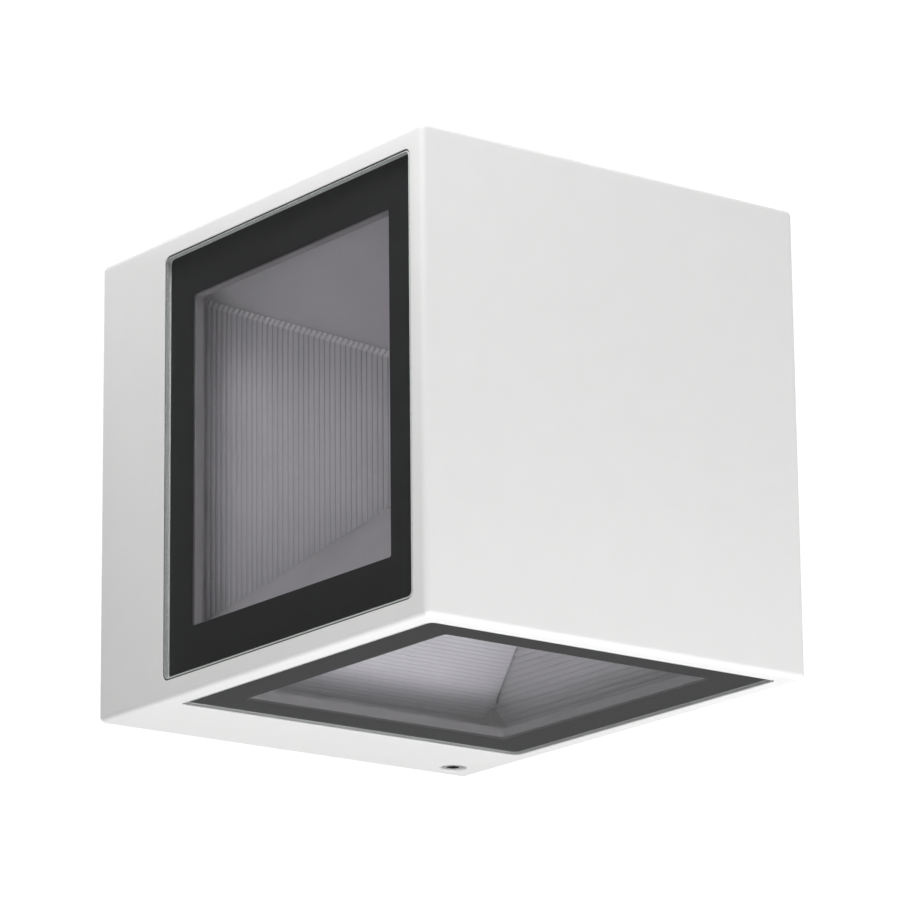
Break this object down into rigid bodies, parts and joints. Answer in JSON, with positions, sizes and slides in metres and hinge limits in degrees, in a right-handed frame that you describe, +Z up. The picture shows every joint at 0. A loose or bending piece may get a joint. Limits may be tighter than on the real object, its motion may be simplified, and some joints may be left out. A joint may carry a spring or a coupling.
{
  "type": "outdoor wall luminaire",
  "caption": "Cube-shaped outdoor wall luminaire: white cast housing, plain front, flush black-bordered panes on its sides, ribbed inner reflector.",
  "frame": {"origin": "centre of the face that lies on the wall", "axes": "+Y into the wall, so the lamp stands out towards -Y; +X along the wall, to the right when facing it; +Z up"},
  "size_m": [0.15, 0.178, 0.156],
  "materials": {
    "powder_coat": "satin",
    "pane_glass": "polished",
    "silicone": "matte",
    "thermal_foil": "matte",
    "black_rubber": "matte",
    "reflector_metal": "satin",
    "grey_plastic": "matte",
    "galvanised": "satin",
    "steel": "polished",
    "white_board": "satin",
    "led_lens": "polished",
    "driver_case": "satin",
    "brown_lead": "satin",
    "blue_lead": "satin",
    "green_lead": "satin",
    "red_lead": "satin",
    "black_lead": "satin"
  },
  "bodies": {
    "wall_side": {"wall_plate": "galvanised", "cable_grommet": "black_rubber", "terminal_block": "grey_plastic", "terminal_screw_1": "steel", "terminal_screw_2": "steel", "earth_screw": "steel"},
    "lamp_head": {"housing": "powder_coat", "wall_seal": "black_rubber", "glass_top": "pane_glass", "glass_seal_top": "silicone", "reflector_top": "reflector_metal", "glass_right": "pane_glass", "glass_seal_right": "silicone", "reflector_right": "reflector_metal", "glass_bottom": "pane_glass", "glass_seal_bottom": "silicone", "reflector_bottom": "reflector_metal", "glass_left": "pane_glass", "glass_seal_left": "silicone", "reflector_left": "reflector_metal", "divider_top_right": "grey_plastic", "divider_top_left": "grey_plastic", "divider_bottom_left": "grey_plastic", "divider_bottom_right": "grey_plastic", "reflector_nose": "grey_plastic", "reflector_base_ring": "grey_plastic", "carrier_plate": "galvanised", "carrier_gasket": "black_rubber", "carrier_screw_1": "steel", "carrier_screw_2": "steel", "carrier_screw_3": "steel", "carrier_screw_4": "steel", "lead_grommet": "black_rubber", "led_board": "white_board", "thermal_pad": "thermal_foil", "led_top": "led_lens", "led_right": "led_lens", "led_bottom": "led_lens", "led_left": "led_lens", "led_board_screw_1": "steel", "led_board_screw_2": "steel", "driver": "driver_case", "driver_screw_1": "steel", "driver_screw_2": "steel", "plug_connector": "white_board", "plug_lead_live": "brown_lead", "plug_lead_neutral": "blue_lead", "plug_lead_earth": "green_lead", "led_lead_plus": "red_lead", "led_lead_minus": "black_lead"},
    "screw_ring": {"screw_o_ring": "black_rubber"},
    "screw": {"fixing_screw": "steel"}
  },
  "joints": [
    {"name": "lamp_off_wall", "type": "slide", "parent": "wall_side", "child": "lamp_head", "axis": [0, -1, 0], "range_m": [0, 0.06]},
    {"name": "fixing_screw_out", "type": "slide", "parent": "lamp_head", "child": "screw_ring", "axis": [0, 0, -1], "range_m": [0, 0.0104]},
    {"name": "fixing_screw_turn", "type": "hinge", "parent": "screw_ring", "child": "screw", "pos_m": [0.0625, -0.009, -0.074], "axis": [0, 0, -1], "range_deg": [0, 4680]}
  ],
  "couplings": [
    {"joint": "fixing_screw_turn", "follows": "fixing_screw_out", "rad_per_m": 7854}
  ]
}
